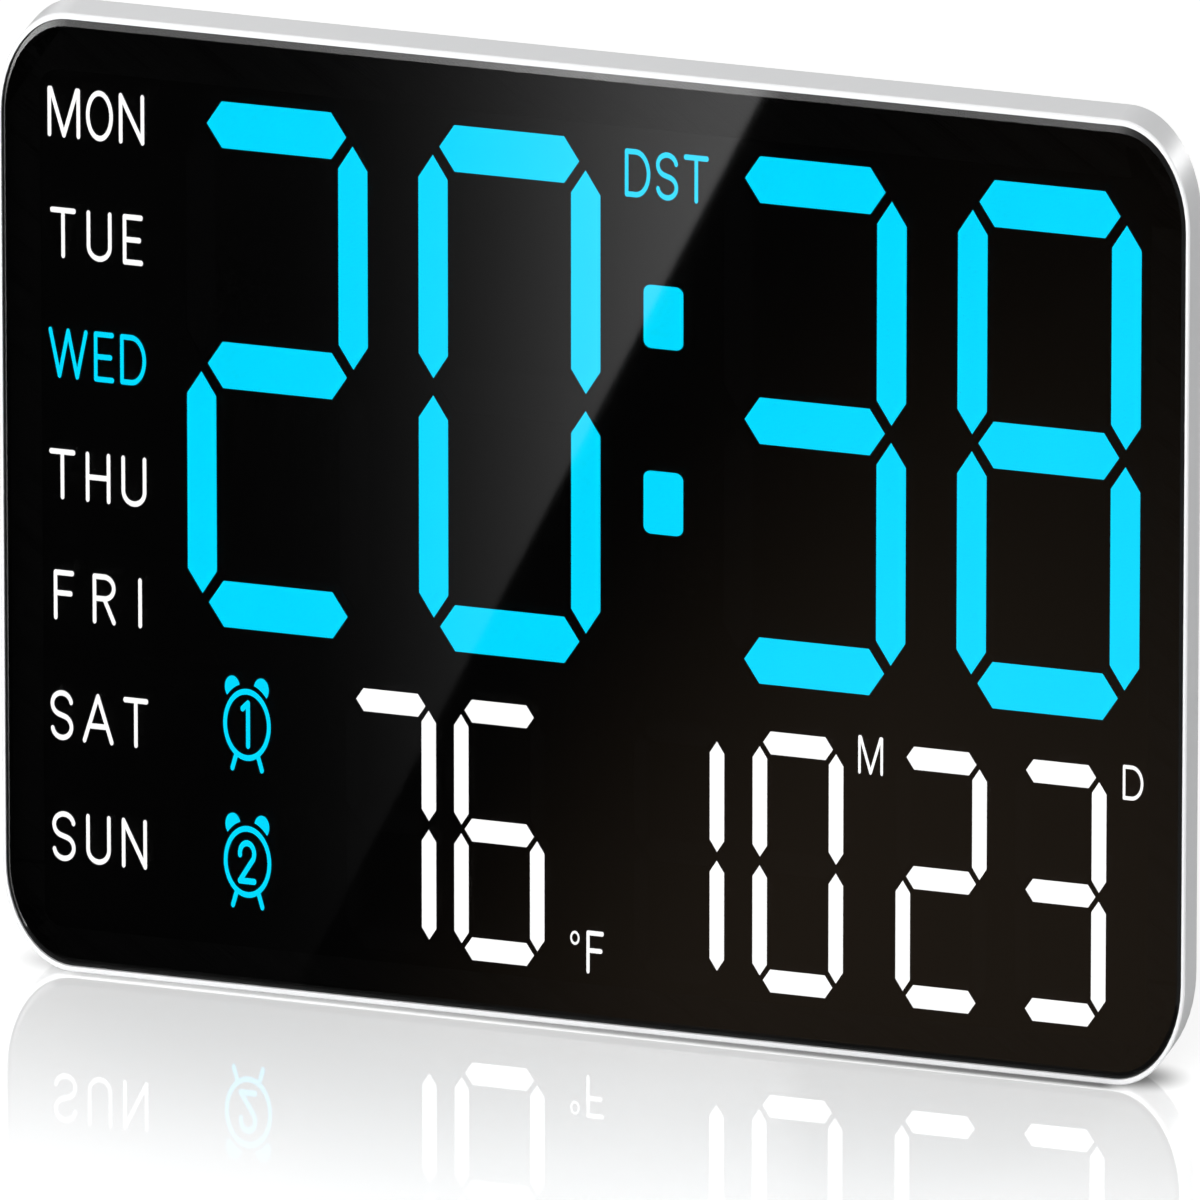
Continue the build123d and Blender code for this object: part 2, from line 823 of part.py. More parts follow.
def case_screws():
    """Pan-head screws, each with a drive recess in its head."""
    head_front = rim_depth - screw_head_height
    screws = []
    for place in screw_places():
        at = Pos(*place)
        screw = slab(at * Circle(screw_radius), board_depth - screw_bite, head_front)
        screw += slab(at * Circle(screw_head_radius), head_front, rim_depth)
        cross = Rectangle(2 * screw_drive_radius, screw_drive_radius / 2)
        cross += Rectangle(screw_drive_radius / 2, 2 * screw_drive_radius)
        screws.append(screw - slab(at * cross, rim_depth - screw_head_height / 2, rim_depth))
    return Compound(screws)


def foot_arm(side):
    """Arm with round ends: its screw's head lies in a counterbore, its pad in a pocket below."""
    length = foot_reach + foot_width / 2
    outline = Pos(0, foot_reach - length / 2) * Rot(0, 0, 90) * SlotOverall(length, foot_width)
    arm = extrude(outline, amount=foot_thickness)
    arm = chamfer(arm.faces().sort_by(Axis.Z)[-1].edges(), foot_edge)
    arm -= extrude(Circle(pivot_radius + pivot_fit), amount=foot_thickness)
    head_top = foot_gap + pivot_head_height + pivot_fit
    arm -= extrude(Circle(pivot_head_radius + foot_gap), amount=head_top)
    arm -= extrude(pad_outline(pad_fit), amount=pad_thickness - pad_proud)
    turn = swing_angle / 2 * side
    slot = stop_arc(stop_angle + swing_angle + 2 * stop_play, -90 - turn, foot_gap)
    arm -= Pos(0, 0, foot_thickness - stop_height) * extrude(slot, amount=stop_height)
    return foot_place(side) * Pos(0, 0, pad_proud) * arm


def pad_outline(gap):
    """Outline of a foot's pad, or of its pocket with a gap."""
    outline = Rot(0, 0, 90) * SlotOverall(pad_length + 2 * gap, pad_width + 2 * gap)
    return Pos(0, foot_reach - pad_margin - pad_length / 2) * outline


def foot_pad(side):
    """Rubber pad that stands a little out of the arm's lower face."""
    return foot_place(side) * extrude(pad_outline(0), amount=pad_thickness)


def foot_screws():
    """Shoulder screws that the feet turn on, each with a slot in its head."""
    head_low = pad_proud + foot_gap
    screws = []
    for side in (-1, 1):
        shank = Circle(pivot_radius)
        reach = arm_top + foot_gap + pivot_bite - foot_gap
        screw = Pos(0, 0, head_low) * extrude(Circle(pivot_head_radius), amount=pivot_head_height)
        screw += Pos(0, 0, head_low) * extrude(shank, amount=reach - head_low)
        slot = Rectangle(2 * pivot_head_radius, pivot_head_radius / 4)
        screw -= Pos(0, 0, head_low) * extrude(slot, amount=pivot_head_height / 3)
        screws.append(foot_place(side) * screw)
    return Compound(screws)


parts = {
    "frame": frame(),
    "front_panel": front_panel(),
    "panel_tape": panel_tape(),
    "mask_film": mask_film(),
    "light_box": light_box(),
    "time_bars_lit": bar_windows(lambda grow: lit_bars(time_figures, 1.0, grow)),
    "time_bars_unlit": bar_windows(lambda grow: unlit_bars(time_figures, 1.0, grow)),
    "colon_dots": bar_windows(colon_dots),
    "temperature_bars_lit": bar_windows(lambda grow: lit_bars(temperature_figures, small_scale, grow)),
    "date_bars_lit": bar_windows(lambda grow: lit_bars(date_figures, small_scale, grow)),
    "lower_bars_unlit": bar_windows(
        lambda grow: unlit_bars(temperature_figures + date_figures, small_scale, grow)
    ),
    "circuit_board": circuit_board(),
    "bar_diodes": bar_diodes(),
    "legend_diodes": legend_diodes(),
    "microcontroller": microcontroller(),
    "driver_chips": driver_chips(),
    "clock_crystal": clock_crystal(),
    "thermistor": thermistor(),
    "buzzer": buzzer(),
    "capacitor": capacitor(),
    "power_inlet": power_inlet(),
    "inlet_pin": inlet_pin(),
    "push_switches": push_switches(),
    "cell_contacts": cell_contacts(),
    "coin_cell": coin_cell(),
    "cell_door": cell_door(),
    "rear_cover": rear_cover(),
    "case_screws": case_screws(),
    "foot_screws": foot_screws(),
}
for side_name, side_sign in (("left", -1), ("right", 1)):
    parts[f"foot_arm_{side_name}"] = foot_arm(side_sign)
    parts[f"foot_pad_{side_name}"] = foot_pad(side_sign)
for button_name, button_place in zip(button_names, button_places()):
    parts[button_name] = push_button(button_place)

for part_name, shape in parts.items():
    export_step(shape, f"parts/{part_name}.step")
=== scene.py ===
# %% [markdown]
# # A digital wall clock with a smoked front
#
# The clock is a white rim round one sheet of smoked acrylic. Behind the sheet lie bars and
# words that light up, and behind those the light box, the board and a black rear cover. The
# solids come from the CAD model. This lesson adds what only Blender can: the studio, the
# printed words, and a finish for every part. Lengths are metres, X runs to the right, Z up,
# and the display faces -Y.

import json

import bpy
import numpy as np
from mathutils import Matrix, Vector


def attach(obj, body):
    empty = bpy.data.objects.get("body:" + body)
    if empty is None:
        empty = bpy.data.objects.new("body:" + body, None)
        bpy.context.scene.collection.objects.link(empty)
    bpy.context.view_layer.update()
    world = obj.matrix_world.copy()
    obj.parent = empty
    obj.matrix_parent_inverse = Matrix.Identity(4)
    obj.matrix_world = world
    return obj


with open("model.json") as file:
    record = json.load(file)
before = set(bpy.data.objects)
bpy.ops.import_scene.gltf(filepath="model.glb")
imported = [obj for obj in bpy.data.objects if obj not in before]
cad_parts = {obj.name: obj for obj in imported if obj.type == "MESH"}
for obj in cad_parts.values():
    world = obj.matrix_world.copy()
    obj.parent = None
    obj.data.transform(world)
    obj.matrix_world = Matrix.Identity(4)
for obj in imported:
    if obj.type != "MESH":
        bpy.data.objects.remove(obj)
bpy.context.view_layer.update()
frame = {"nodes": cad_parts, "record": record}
nodes = frame["nodes"]

# %% [markdown]
# ## The camera
#
# The photograph was taken from far away, a little from the right and above, so its lines
# barely converge. A long lens at ten metres gives the same picture. Azimuth and elevation
# say where the camera stands as seen from the clock, and three unit vectors follow from
# them: one to the right, one up, and one back towards the camera.

# %% Stand the camera where the photograph was taken
camera_azimuth = np.radians(16.079)
camera_elevation = np.radians(21.457)
camera_distance = 10.0
aim = np.array([0.00283, -0.00675, 0.13518])

right = np.array([np.cos(camera_azimuth), np.sin(camera_azimuth), 0.0])
back = np.array([
    np.sin(camera_azimuth) * np.cos(camera_elevation),
    -np.cos(camera_azimuth) * np.cos(camera_elevation),
    np.sin(camera_elevation),
])
up = np.cross(back, right)
eye = aim + camera_distance * back

camera = bpy.data.objects.new("camera", bpy.data.cameras.new("camera"))
bpy.context.scene.collection.objects.link(camera)
camera.data.sensor_fit = "HORIZONTAL"
camera.data.sensor_width = 36.0
camera.data.lens = 1029.45
camera.data.clip_end = 100.0
turn = Matrix((right, up, back)).transposed()
camera.matrix_world = Matrix.Translation(eye) @ turn.to_4x4()
bpy.context.scene.camera = camera
bpy.context.scene.view_settings.view_transform = "Standard"
print("camera at", np.round(eye, 3))

# %% [markdown]
# ## A small language for shaders
#
# A material is a graph of nodes. Wiring maths by hand hides the formula, so the class Value
# wraps one socket and overloads the operators: `1 - mask * 0.5` then adds its own Math nodes.
# Paint holds one graph. Its method node() adds any node: settings first, sockets second.

# %% Wrap sockets so that shader maths reads as maths
class Value:
    """One output socket that can be added, subtracted, multiplied, divided and compared."""

    def __init__(self, paint, socket):
        self.paint = paint
        self.socket = socket

    def maths(self, operation, first, second):
        return self.paint.node("ShaderNodeMath", {"operation": operation}, {0: first, 1: second})

    def __add__(self, other):
        return self.maths("ADD", self, other)

    def __radd__(self, other):
        return self.maths("ADD", other, self)

    def __sub__(self, other):
        return self.maths("SUBTRACT", self, other)

    def __rsub__(self, other):
        return self.maths("SUBTRACT", other, self)

    def __mul__(self, other):
        return self.maths("MULTIPLY", self, other)

    def __rmul__(self, other):
        return self.maths("MULTIPLY", other, self)

    def __truediv__(self, other):
        return self.maths("DIVIDE", self, other)

    def __rtruediv__(self, other):
        return self.maths("DIVIDE", other, self)

    def __pow__(self, other):
        return self.maths("POWER", self, other)

    def __rpow__(self, other):
        return self.maths("POWER", other, self)

    def __abs__(self):
        return self.paint.node("ShaderNodeMath", {"operation": "ABSOLUTE"}, {0: self})

    def above(self, other):
        """1 where this value is greater than the other, else 0."""
        return self.maths("GREATER_THAN", self, other)

    def at_least(self, other):
        """The greater one of this value and the other."""
        return self.maths("MAXIMUM", self, other)

    def smooth(self, low, high):
        """0 up to low, 1 from high on, and a smooth step between them."""
        settings = {"interpolation_type": "SMOOTHSTEP"}
        return self.paint.node("ShaderNodeMapRange", settings, {0: self, 1: low, 2: high})


class Paint:
    """A graph of nodes, in a material or in the world."""

    def __init__(self, tree):
        self.tree = tree
        self.tree.nodes.clear()

    def node(self, kind, settings=(), sockets=(), output=0):
        """Adds a node and gives one of its outputs as a Value."""
        made = self.tree.nodes.new(kind)
        for key, value in dict(settings).items():
            if key == "stops":
                self.set_stops(made.color_ramp, value)
            else:
                setattr(made, key, value)
        for key, value in dict(sockets).items():
            if isinstance(value, Value):
                self.tree.links.new(value.socket, made.inputs[key])
            else:
                made.inputs[key].default_value = value
        return Value(self, made.outputs[output]) if made.outputs else made

    def set_stops(self, ramp, stops):
        """Gives a ramp its stops, each a place from 0 to 1 and a colour."""
        while len(ramp.elements) < len(stops):
            ramp.elements.new(0.5)
        for element, (place, colour) in zip(ramp.elements, stops):
            element.position = place
            element.color = (*colour, 1.0)

    def place(self):
        """Object coordinates, in metres."""
        return self.node("ShaderNodeTexCoord", output=3)

    def axis(self, number, vector=None):
        """X, Y or Z of a vector, by default of the place."""
        vector = vector or self.place()
        return self.node("ShaderNodeSeparateXYZ", sockets={0: vector}, output=number)

    def noise(self, scale, detail=3.0, finer=(1.0, 1.0, 1.0)):
        """Noise in 0 to 1 with `scale` waves to the metre, times `finer` along X, Y and Z."""
        where = self.node("ShaderNodeMapping", sockets={"Vector": self.place(), "Scale": finer})
        sockets = {"Vector": where, "Scale": scale, "Detail": detail}
        return self.node("ShaderNodeTexNoise", sockets=sockets)

    def mix(self, factor, first, second):
        """A colour between two colours: the first at 0, the second at 1."""
        colours = {0: factor, 6: first, 7: second}
        return self.node("ShaderNodeMix", {"data_type": "RGBA"}, colours, output=2)

    def bump(self, height, strength, distance):
        """The normal of a surface that rises by the height times the distance, in metres."""
        sockets = {"Height": height, "Strength": strength, "Distance": distance}
        return self.node("ShaderNodeBump", sockets=sockets)


materials = {}


def new_paint(name):
    """A new material with an empty graph, kept under its name."""
    material = bpy.data.materials.new(name)
    material.use_nodes = True
    materials[name] = material
    return Paint(material.node_tree)


def finish_with(paint, shader):
    """Joins a shader to the material's output."""
    paint.node("ShaderNodeOutputMaterial", sockets={"Surface": shader})


def rgb(red, green, blue):
    return (red, green, blue, 1.0)


def grey(level):
    return rgb(level, level, level)


white = grey(1.0)
print("shader language ready")

# %% [markdown]
# ## The studio
#
# The real picture was taken on a white, slightly mirroring table in front of white. A world
# shader does most of that. Camera rays see pure white. Reflections see white above the
# horizon and near black below it, which is what keeps the smoked sheet dark from any side.
# Every other ray gets a moderate grey, so that the rim keeps its shading.

# %% Light the world
sky_light = 0.33            # for every ray that comes from neither the camera nor a mirror
sky_below = 0.10            # what a mirror sees below the horizon
horizon_blur = 0.02


def make_world():
    """White for the camera, white above and dark below for reflections, grey for the rest."""
    world = bpy.data.worlds.new("studio")
    bpy.context.scene.world = world
    world.use_nodes = True
    paint = Paint(world.node_tree)
    height = paint.axis(2, paint.node("ShaderNodeTexCoord", output=0))
    mirrored = sky_below + (1.0 - sky_below) * height.smooth(-horizon_blur, horizon_blur)
    is_camera = paint.node("ShaderNodeLightPath", output=0)
    is_glossy = paint.node("ShaderNodeLightPath", output=3)
    strength = is_camera + (1 - is_camera) * (is_glossy * mirrored + (1 - is_glossy) * sky_light)
    light = paint.node("ShaderNodeBackground", sockets={0: white, 1: strength})
    paint.node("ShaderNodeOutputWorld", sockets={0: light})


make_world()
print("world light", sky_light)

# %% [markdown]
# ## The table
#
# The table is a plane with two shaders. One is white and partly lit from within, so that it
# reaches the white of the background and still shows a soft shadow where the clock stands.
# The other is a clear mirror. Its share is a third beside the clock and fades to nothing
# within 190 mm, as the reflection does in the photograph. The light that glows from within
# would fill the narrow gap under the rim, so the gap's shade is painted: a thin seam along
# the front of the rim, which deepens to the right, and a small pool under each rounded corner.

# %% Lay the table
def new_object(name, points, faces, uv=None):
    """A mesh object at the origin. `uv` gives a place on the UV map for each point."""
    mesh = bpy.data.meshes.new(name)
    mesh.from_pydata(np.asarray(points, float).tolist(), [], np.asarray(faces).tolist())
    if uv is not None:
        layer = mesh.uv_layers.new(name="UVMap")
        layer.data.foreach_set("uv", np.asarray(uv, float)[np.ravel(faces)].ravel())
    made = bpy.data.objects.new(name, mesh)
    bpy.context.scene.collection.objects.link(made)
    return made


table_half = 6.0
table_glow = 0.62           # the table's own light in front of the clock's left half
table_glow_right = 0.67
table_white = 0.54
mirror_share = 0.34
mirror_reach = 0.190
base_half = 0.1587          # half length of the rim's flat base
base_half_depth = 0.0068
seam_core = 0.0012          # the seam is full up to here from the base
seam_reach, seam_spread = 0.0030, 0.0016        # it ends here on the left, and so much later on the right
pool_run, pool_depth = 0.020, 0.014             # how far a pool reaches in X and in Y
shade_left = 0.38           # share of the light that seam and pools take on the left
seam_gain, pool_gain = 0.44, 0.34               # how much more they take on the right


def contact_shade(paint, away):
    """How much of its light the table loses: 0 in the open, more close to the clock's base.

    The seam runs beside the base. A pool is the inside of an ellipse round the base's end:
    the root of the two squared offsets, counted in its half axes, is 1 on its edge.
    """
    x = paint.axis(0)
    along = abs(x)
    deeper = x.smooth(-0.18, 0.16)
    beside = 1 - away.at_least(0.0).smooth(seam_core, seam_reach + seam_spread * deeper)
    seam = beside * (1 - along.smooth(base_half - 0.004, base_half + 0.006))
    outwards = (along - base_half - 0.004) / pool_run
    backwards = (paint.axis(1) - 0.002) / pool_depth
    far = (outwards ** 2.0 + backwards ** 2.0) ** 0.5
    pool = (1 - far.smooth(0.15, 1.0)) * (1 - seam)
    return seam * (shade_left + seam_gain * deeper) + pool * (shade_left + pool_gain * deeper)


def make_table_paint():
    """White that also glows, under a mirror that fades with the distance from the base."""
    paint = new_paint("table")
    away = abs(paint.axis(1)) - base_half_depth
    share = mirror_share * (1 - away.smooth(0.0, mirror_reach))
    is_diffuse = paint.node("ShaderNodeLightPath", output=2)
    near_light = paint.mix(paint.axis(0).smooth(-0.05, 0.20), grey(table_glow), grey(table_glow_right))
    distance = paint.node("ShaderNodeVectorMath", {"operation": "LENGTH"}, {0: paint.place()}, output=1)
    own_light = paint.mix(distance.smooth(0.5, 3.0), near_light, white)
    seen = paint.mix(is_diffuse, own_light, grey(0.5 * table_glow))
    glow = paint.node("ShaderNodeEmission", sockets={0: seen, 1: 1.0})
    body = paint.node("ShaderNodeBsdfDiffuse", sockets={0: grey(table_white)})
    lit = paint.node("ShaderNodeAddShader", sockets={0: glow, 1: body})
    mirror = paint.node("ShaderNodeBsdfGlossy", sockets={"Color": white, "Roughness": 0.02})
    open_table = paint.node("ShaderNodeMixShader", sockets={0: share, 1: lit, 2: mirror})
    dark = paint.node("ShaderNodeBsdfDiffuse", sockets={0: grey(0.02)})
    shade = contact_shade(paint, away)
    finish_with(paint, paint.node("ShaderNodeMixShader", sockets={0: shade, 1: open_table, 2: dark}))


make_table_paint()
table_corners = [(table_half * x, table_half * y, 0.0) for x, y in ((-1, -1), (1, -1), (1, 1), (-1, 1))]
table = new_object("table", table_corners, [(0, 1, 2, 3)])
table.data.materials.append(materials["table"])
table.visible_glossy = False
print("table laid")

# %% [markdown]
# ## Soft lights
#
# A softbox in front gives the white front lip. A wide one overhead lights the top of the rim.
# Behind on the right hangs a low, bright one that only the rim's upper right corner mirrors:
# the corner turns white there. A taller one near it adds plain light, because the right side
# gets little else but the room's. One behind on the left lights the back. The camera sees
# none of them.

# %% Hang the softboxes
def softbox(name, place, target, width, height, radiance, in_reflections=True):
    """A rectangle of light: its power is the radiance times its area times pi."""
    data = bpy.data.lights.new(name, "AREA")
    data.shape = "RECTANGLE"
    data.size = width
    data.size_y = height
    data.energy = radiance * width * height * np.pi
    made = bpy.data.objects.new(name, data)
    bpy.context.scene.collection.objects.link(made)
    towards = Vector(target) - Vector(place)
    facing = towards.to_track_quat("-Z", "Y").to_matrix().to_4x4()
    made.matrix_world = Matrix.Translation(Vector(place)) @ facing
    made.visible_camera = False
    made.visible_glossy = in_reflections


upper_corner = (0.17, 0, 0.27)
softbox("front_softbox", (-0.15, -1.95, 0.85), (0, 0, 0.15), 1.5, 0.9, 9.5, in_reflections=False)
softbox("top_softbox", (-0.80, -0.30, 1.90), (0, 0, 0.1), 1.6, 1.6, 0.84, in_reflections=False)
softbox("rear_softbox", (-1.60, 1.90, 1.50), (0, 0, 0.15), 1.2, 1.2, 2.0)
softbox("corner_softbox", (1.07, 1.80, 0.30), upper_corner, 0.50, 0.26, 14.0)
softbox("side_softbox", (0.92, 1.80, 0.62), upper_corner, 0.46, 0.95, 5.6, in_reflections=False)
print("softboxes hung")

# %% [markdown]
# ## What the front reflects
#
# Seen from the camera, the flat sheet mirrors only a small patch of the room, low in front
# and to the left. There hangs a card that glows on one side of a slanting line: that is the
# gloss across the display. It is worked out backwards. The camera is mirrored in the sheet,
# and a ray from this mirrored eye through a point of the sheet meets the card where the card
# must show what that point shows. So the card's UV map holds places on the sheet.

# %% Hang the gloss card
sheet_y = aim[1]
card_distance = 2.0
mirrored_eye = np.array([eye[0], 2 * sheet_y - eye[1], eye[2]])
sheet_reflects = 0.0313     # share of light that the sheet sends back at this angle
sheet_top = 0.300
edge_top, edge_slope = 0.0530, 0.4804           # X of the slanting edge at the sheet's top, and its slope
edge_blur = 0.0004
cool_light, cool_peak, cool_width = 0.0765, 0.060, 0.071    # strength, X where it is strongest, and width
warm_light = (0.0116, 0.0085, 0.0058)
euler = 2.71828


def on_card(x, z):
    """Point on the card seen in the point (x, z) of the sheet: eye + (point - eye) times a factor."""
    point = np.array([x, sheet_y, z])
    factor = 1 + card_distance / (mirrored_eye[1] - sheet_y)
    return mirrored_eye + (point - mirrored_eye) * factor


def make_gloss_paint():
    """Cool light left of the slanting edge, faint warm light low on the right.

    The cool light falls off as a bell curve: e to the power of minus the squared distance.
    """
    paint = new_paint("gloss_card")
    place = paint.node("ShaderNodeUVMap")
    x = paint.axis(0, place)
    z = paint.axis(1, place)
    past_edge = x - (edge_top - edge_slope * (sheet_top - z))
    lit_side = 1 - past_edge.smooth(-edge_blur, edge_blur)
    fade = ((cool_peak - x) / cool_width) ** 2.0
    cool = lit_side * cool_light * (euler ** (-1.0 * fade))
    warm = (1 - lit_side) * past_edge.smooth(0.0, 0.14) * (1 - 0.85 * z.smooth(0.03, 0.31))
    glow = paint.mix(warm, grey(0.0), rgb(*warm_light))
    cool_glow = paint.node("ShaderNodeCombineColor", sockets={0: cool, 1: cool, 2: cool})
    settings = {"data_type": "RGBA", "blend_type": "ADD"}
    both = paint.node("ShaderNodeMix", settings, {0: 1.0, 6: glow, 7: cool_glow}, output=2)
    finish_with(paint, paint.node("ShaderNodeEmission", sockets={0: both, 1: 1.0 / sheet_reflects}))


def reflections_only(card):
    """The card shows in reflections and nowhere else, and isn't part of the clock."""
    card.visible_camera = False
    card.visible_diffuse = False
    card.visible_transmission = False
    card.visible_shadow = False
    card.data.materials[0].cycles.emission_sampling = "NONE"


make_gloss_paint()
sheet_corners = [(-0.21, -0.03), (0.21, -0.03), (0.21, 0.33), (-0.21, 0.33)]
card_corners = [on_card(x, z) for x, z in sheet_corners]
gloss_card = new_object("gloss_card", card_corners, [(0, 1, 2, 3)], uv=sheet_corners)
gloss_card.data.materials.append(materials["gloss_card"])
reflections_only(gloss_card)
print("gloss card from", np.round(card_corners[0], 2), "to", np.round(card_corners[2], 2))

# %% [markdown]
# The sheet's narrow bevel mirrors other places: its left side looks far to the left and down,
# its top looks forward and up, and round the upper left corner the view swings from one to
# the other. One curved card follows that swing, a metre from the clock. Its light depends
# on the angle round the clock, so the bevel goes from grey over a bright corner to grey
# again, brightens once more towards the gloss's edge, and is grey to the right of it.

# %% Hang the curved card for the bevel
card_edges = [              # angle in degrees, lower edge, upper edge
    (-60, -0.50, 0.75), (-40, -0.40, 0.75), (-30, -0.10, 0.75), (-10, 0.20, 0.75), (5, 0.25, 0.80),
    (12, 0.27, 0.90), (25, 0.27, 0.95), (32, 0.05, 0.95), (40, -0.15, 0.95), (50, -0.35, 0.95),
    (62, -0.50, 0.85), (70, -0.65, 0.65), (78, -0.75, 0.45), (100, -0.80, 0.30),
]
card_light = [              # angle in degrees, radiance
    (-60, 0.4), (-30, 0.4), (-18, 0.7), (-8, 1.4), (0, 2.7), (5, 4.2), (6.5, 4.2), (8.5, 3.6),
    (11.9, 3.4), (12.2, 8.8), (15.1, 9.8), (17.9, 5.5), (20.6, 3.9), (24, 3.4), (30, 6.0),
    (42, 10.2), (60, 11.0), (66, 10.2), (70, 8.2), (74, 5.6), (76.5, 3.4), (78.5, 2.2), (100, 2.1),
]
brightest = 12.0
card_columns = 65


def swept_card(name, edges):
    """A card along an arc: at angle a it stands at (-sin a, -cos a), between its two edges.

    The heights are interpolated between the given angles, and U is the angle from the first
    to the last as 0 to 1.
    """
    angles, low, high = np.transpose(edges)
    steps = np.linspace(angles[0], angles[-1], card_columns + 1)
    turn = np.radians(steps)
    foot = np.stack([-np.sin(turn), -np.cos(turn), np.interp(steps, angles, low)], axis=1)
    head = np.stack([-np.sin(turn), -np.cos(turn), np.interp(steps, angles, high)], axis=1)
    first = np.arange(card_columns)
    above = first + card_columns + 1
    faces = np.stack([first, above, above + 1, first + 1], axis=1)
    share = np.tile(np.linspace(0, 1, card_columns + 1), 2)
    return new_object(name, np.concatenate([foot, head]), faces, uv=np.stack([share, 0 * share], axis=1))


def make_bevel_paint():
    """Light that follows the angle: a ramp whose stops are angles as shares of the whole arc."""
    paint = new_paint("bevel_card")
    first, last = card_edges[0][0], card_edges[-1][0]
    stops = [((angle - first) / (last - first), (light / brightest,) * 3) for angle, light in card_light]
    along = paint.axis(0, paint.node("ShaderNodeUVMap"))
    glow = paint.node("ShaderNodeValToRGB", {"stops": stops}, {0: along})
    finish_with(paint, paint.node("ShaderNodeEmission", sockets={0: glow, 1: brightest}))


make_bevel_paint()
bevel_card = swept_card("bevel_card", card_edges)
bevel_card.data.materials.append(materials["bevel_card"])
reflections_only(bevel_card)
print("bevel card with", len(bevel_card.data.polygons), "faces")

# %% [markdown]
# ## Printed words
#
# The weekdays, DST, the two alarm symbols and the small unit letters are windows in the
# black print, each lit from its own well. They are drawn with one round pen. The letters of
# the real display are narrow: everything is as if drawn on a wider sheet and then squeezed
# sideways to 0.64, so upright strokes come out thinner than level ones. A stroke is a thin
# closed band. Its profile is a rectangle that is carried along the pen's path, and at the
# ends its width shrinks as a half circle does.

# %% Draw one stroke of the pen
squeeze = 0.64
word_front = 0.00302        # depth of the words behind the front of the sheet
word_thickness = 0.00004
cap = np.radians(np.linspace(6, 90, 9))[:, None]        # a stroke's round end, from its tip to full width


def band(left_side, right_side, near, far, closed):
    """A closed band between two edges: the four corners of its rectangle, carried along the path.

    Ring i holds the two edges' points i at the near depth, then at the far depth. Neighbouring
    rings are joined by quads, and an open band gets a quad at each end.
    """
    count = len(left_side)
    y_near = np.full(count, near + sheet_y)
    y_far = np.full(count, far + sheet_y)
    corners = [(left_side, y_near), (right_side, y_near), (right_side, y_far), (left_side, y_far)]
    rings = np.stack([np.stack([side[:, 0], y, side[:, 1]], axis=1) for side, y in corners], axis=1)
    ring = np.arange(count if closed else count - 1)[:, None]
    corner = np.arange(4)[None, :]
    after = (ring + 1) % count
    turned = (corner + 1) % 4
    quads = [ring * 4 + corner, ring * 4 + turned, after * 4 + turned, after * 4 + corner]
    faces = np.stack(quads, axis=-1).reshape(-1, 4)
    if not closed:
        last = (count - 1) * 4
        faces = np.concatenate([faces, [[3, 2, 1, 0]], [[last, last + 1, last + 2, last + 3]]])
    return rings.reshape(-1, 3), faces


def stroke(path, pen, near, closed=False):
    """One stroke: at each point of the path the pen reaches `pen` to both sides of it.

    The side is the path's direction turned by a quarter. At the two ends the path goes on by
    pen times a cosine while its half width is pen times the sine, which draws a half circle.
    """
    path = np.asarray(path, float)
    if closed:
        along = np.roll(path, -1, axis=0) - np.roll(path, 1, axis=0)
        reach = np.full(len(path), pen)
    else:
        along = np.gradient(path, axis=0)
    along /= np.linalg.norm(along, axis=1, keepdims=True)
    if not closed:
        start = path[0] - along[0] * pen * np.cos(cap)
        end = path[-1] + along[-1] * pen * np.cos(cap[::-1])
        widening = pen * np.sin(cap[:, 0])
        reach = np.concatenate([widening, np.full(len(path) - 2, pen), widening[::-1]])
        path = np.concatenate([start, path[1:-1], end])
        first, last = np.repeat(along[:1], len(cap), 0), np.repeat(along[-1:], len(cap), 0)
        along = np.concatenate([first, along[1:-1], last])
    side = np.stack([-along[:, 1], along[:, 0]], axis=1) * reach[:, None]
    narrow = np.array([squeeze, 1.0])
    return band((path + side) * narrow, (path - side) * narrow, near, near + word_thickness, closed)


def arc(u, v, wide, tall, start, end, count=24):
    """Points on an ellipse round (u, v), from one angle in degrees to another."""
    angle = np.radians(np.linspace(start, end, count))
    return np.stack([u + wide * np.cos(angle), v + tall * np.sin(angle)], axis=1)


def oval(u, v, wide, tall, count=48):
    """Points on a whole ellipse. The last one stands one step before the first."""
    return arc(u, v, wide, tall, 0, 360 - 360 / count, count)


print("stroke of 10 mm has", len(stroke([(0, 0), (0.01, 0)], 0.001, word_front)[0]), "points")

# %% [markdown]
# A letter is a list of paths in a box that runs from 0 to 1 both ways. Straight letters are a
# few lines, and round ones join lines to parts of ellipses.

# %% Describe the letters
def lines(*points):
    """One straight path from each point to the next."""
    return [np.array(pair, float) for pair in zip(points, points[1:])]


def joined(*stretches):
    """Points and parts of ellipses as one path."""
    return [np.concatenate(stretches)]


